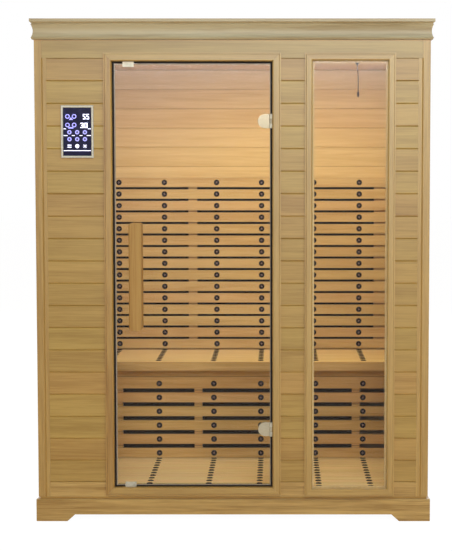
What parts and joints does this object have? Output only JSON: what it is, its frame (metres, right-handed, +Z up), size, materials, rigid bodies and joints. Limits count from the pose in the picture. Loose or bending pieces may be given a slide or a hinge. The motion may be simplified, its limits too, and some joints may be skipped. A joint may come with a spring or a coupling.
{
  "type": "infrared sauna cabin",
  "caption": "Free-standing timber infrared sauna cabin with a hinged glass door, a fixed side window, a slatted bench and heater fences, and a control panel by the door",
  "frame": {"origin": "On the floor, in the middle of the overall box, under the middle of the cabin.", "axes": "+X runs to the right seen from the front, +Y runs from the front (door side) to the back, +Z is up."},
  "size_m": [1.514, 1.1, 1.9],
  "materials": {
    "exterior_wood": "satin lacquered light softwood boards",
    "trim_wood": "satin lacquered light softwood mouldings",
    "interior_wood": "plain sanded light softwood",
    "handle_wood": "satin lacquered softwood",
    "clear_glass": "clear toughened glass with polished edges",
    "seal_rubber": "matt black",
    "hinge_steel": "satin",
    "heater_panel": "matt black carbon panel",
    "painted_steel": "grey powder coat",
    "sensor_cable": "matt dark grey",
    "bezel_silver": "silver satin",
    "fascia_black": "gloss black",
    "key_cap": "gloss dark violet with a faint glow"
  },
  "bodies": {
    "cabin": {"plinth_front": "exterior_wood", "plinth_left": "exterior_wood", "plinth_right": "exterior_wood", "floor_panel": "exterior_wood", "left_wall_panel": "exterior_wood", "right_wall_panel": "exterior_wood", "corner_post_left": "exterior_wood", "corner_post_right": "exterior_wood", "front_top_rail": "exterior_wood", "front_bottom_rail": "exterior_wood", "front_panel_left": "exterior_wood", "front_panel_middle": "exterior_wood", "front_panel_right": "exterior_wood", "roof_panel": "exterior_wood", "door_casing_left": "trim_wood", "door_casing_right": "trim_wood", "door_casing_top": "trim_wood", "door_casing_bottom": "trim_wood", "window_casing": "trim_wood", "crown_front": "trim_wood", "crown_left": "trim_wood", "crown_right": "trim_wood", "floor_deck": "interior_wood", "back_wall_panel": "interior_wood", "window_bead": "interior_wood", "ceiling_panel": "interior_wood", "bench_seat": "interior_wood", "bench_fascia": "interior_wood", "bench_front_fence": "interior_wood", "back_fence": "interior_wood", "window_glass": "clear_glass", "door_seal": "seal_rubber", "sensor_gland": "seal_rubber", "hinge_bracket_bottom": "hinge_steel", "hinge_bracket_top": "hinge_steel", "back_heater_left": "heater_panel", "back_heater_centre": "heater_panel", "back_heater_right": "heater_panel", "calf_heater": "heater_panel", "power_box": "painted_steel", "sensor_lead": "sensor_cable", "sensor_probe": "sensor_cable", "control_bezel": "bezel_silver", "control_fascia": "fascia_black"},
    "door": {"door_glass": "clear_glass", "hinge_clamp_bottom": "hinge_steel", "hinge_clamp_top": "hinge_steel", "handle_outer": "handle_wood", "handle_inner": "handle_wood", "strike_plate_top": "hinge_steel", "strike_plate_bottom": "hinge_steel"},
    "key_1": {"key_1": "key_cap"},
    "key_2": {"key_2": "key_cap"},
    "key_3": {"key_3": "key_cap"},
    "key_4": {"key_4": "key_cap"},
    "key_5": {"key_5": "key_cap"},
    "key_6": {"key_6": "key_cap"},
    "key_7": {"key_7": "key_cap"},
    "key_8": {"key_8": "key_cap"},
    "key_9": {"key_9": "key_cap"}
  },
  "joints": [
    {"name": "door_swing", "type": "hinge", "parent": "cabin", "child": "door", "pos_m": [0.144, -0.52, 0.936], "axis": [0, 0, 1], "range_deg": [0, 105]},
    {"name": "key_1_press", "type": "slide", "parent": "cabin", "child": "key_1", "axis": [0, 1, 0], "range_m": [0, 0.001], "stiffness_N_per_m": 1500},
    {"name": "key_2_press", "type": "slide", "parent": "cabin", "child": "key_2", "axis": [0, 1, 0], "range_m": [0, 0.001], "stiffness_N_per_m": 1500},
    {"name": "key_3_press", "type": "slide", "parent": "cabin", "child": "key_3", "axis": [0, 1, 0], "range_m": [0, 0.001], "stiffness_N_per_m": 1500},
    {"name": "key_4_press", "type": "slide", "parent": "cabin", "child": "key_4", "axis": [0, 1, 0], "range_m": [0, 0.001], "stiffness_N_per_m": 1500},
    {"name": "key_5_press", "type": "slide", "parent": "cabin", "child": "key_5", "axis": [0, 1, 0], "range_m": [0, 0.001], "stiffness_N_per_m": 1500},
    {"name": "key_6_press", "type": "slide", "parent": "cabin", "child": "key_6", "axis": [0, 1, 0], "range_m": [0, 0.001], "stiffness_N_per_m": 1500},
    {"name": "key_7_press", "type": "slide", "parent": "cabin", "child": "key_7", "axis": [0, 1, 0], "range_m": [0, 0.001], "stiffness_N_per_m": 1500},
    {"name": "key_8_press", "type": "slide", "parent": "cabin", "child": "key_8", "axis": [0, 1, 0], "range_m": [0, 0.001], "stiffness_N_per_m": 1500},
    {"name": "key_9_press", "type": "slide", "parent": "cabin", "child": "key_9", "axis": [0, 1, 0], "range_m": [0, 0.001], "stiffness_N_per_m": 1500}
  ]
}
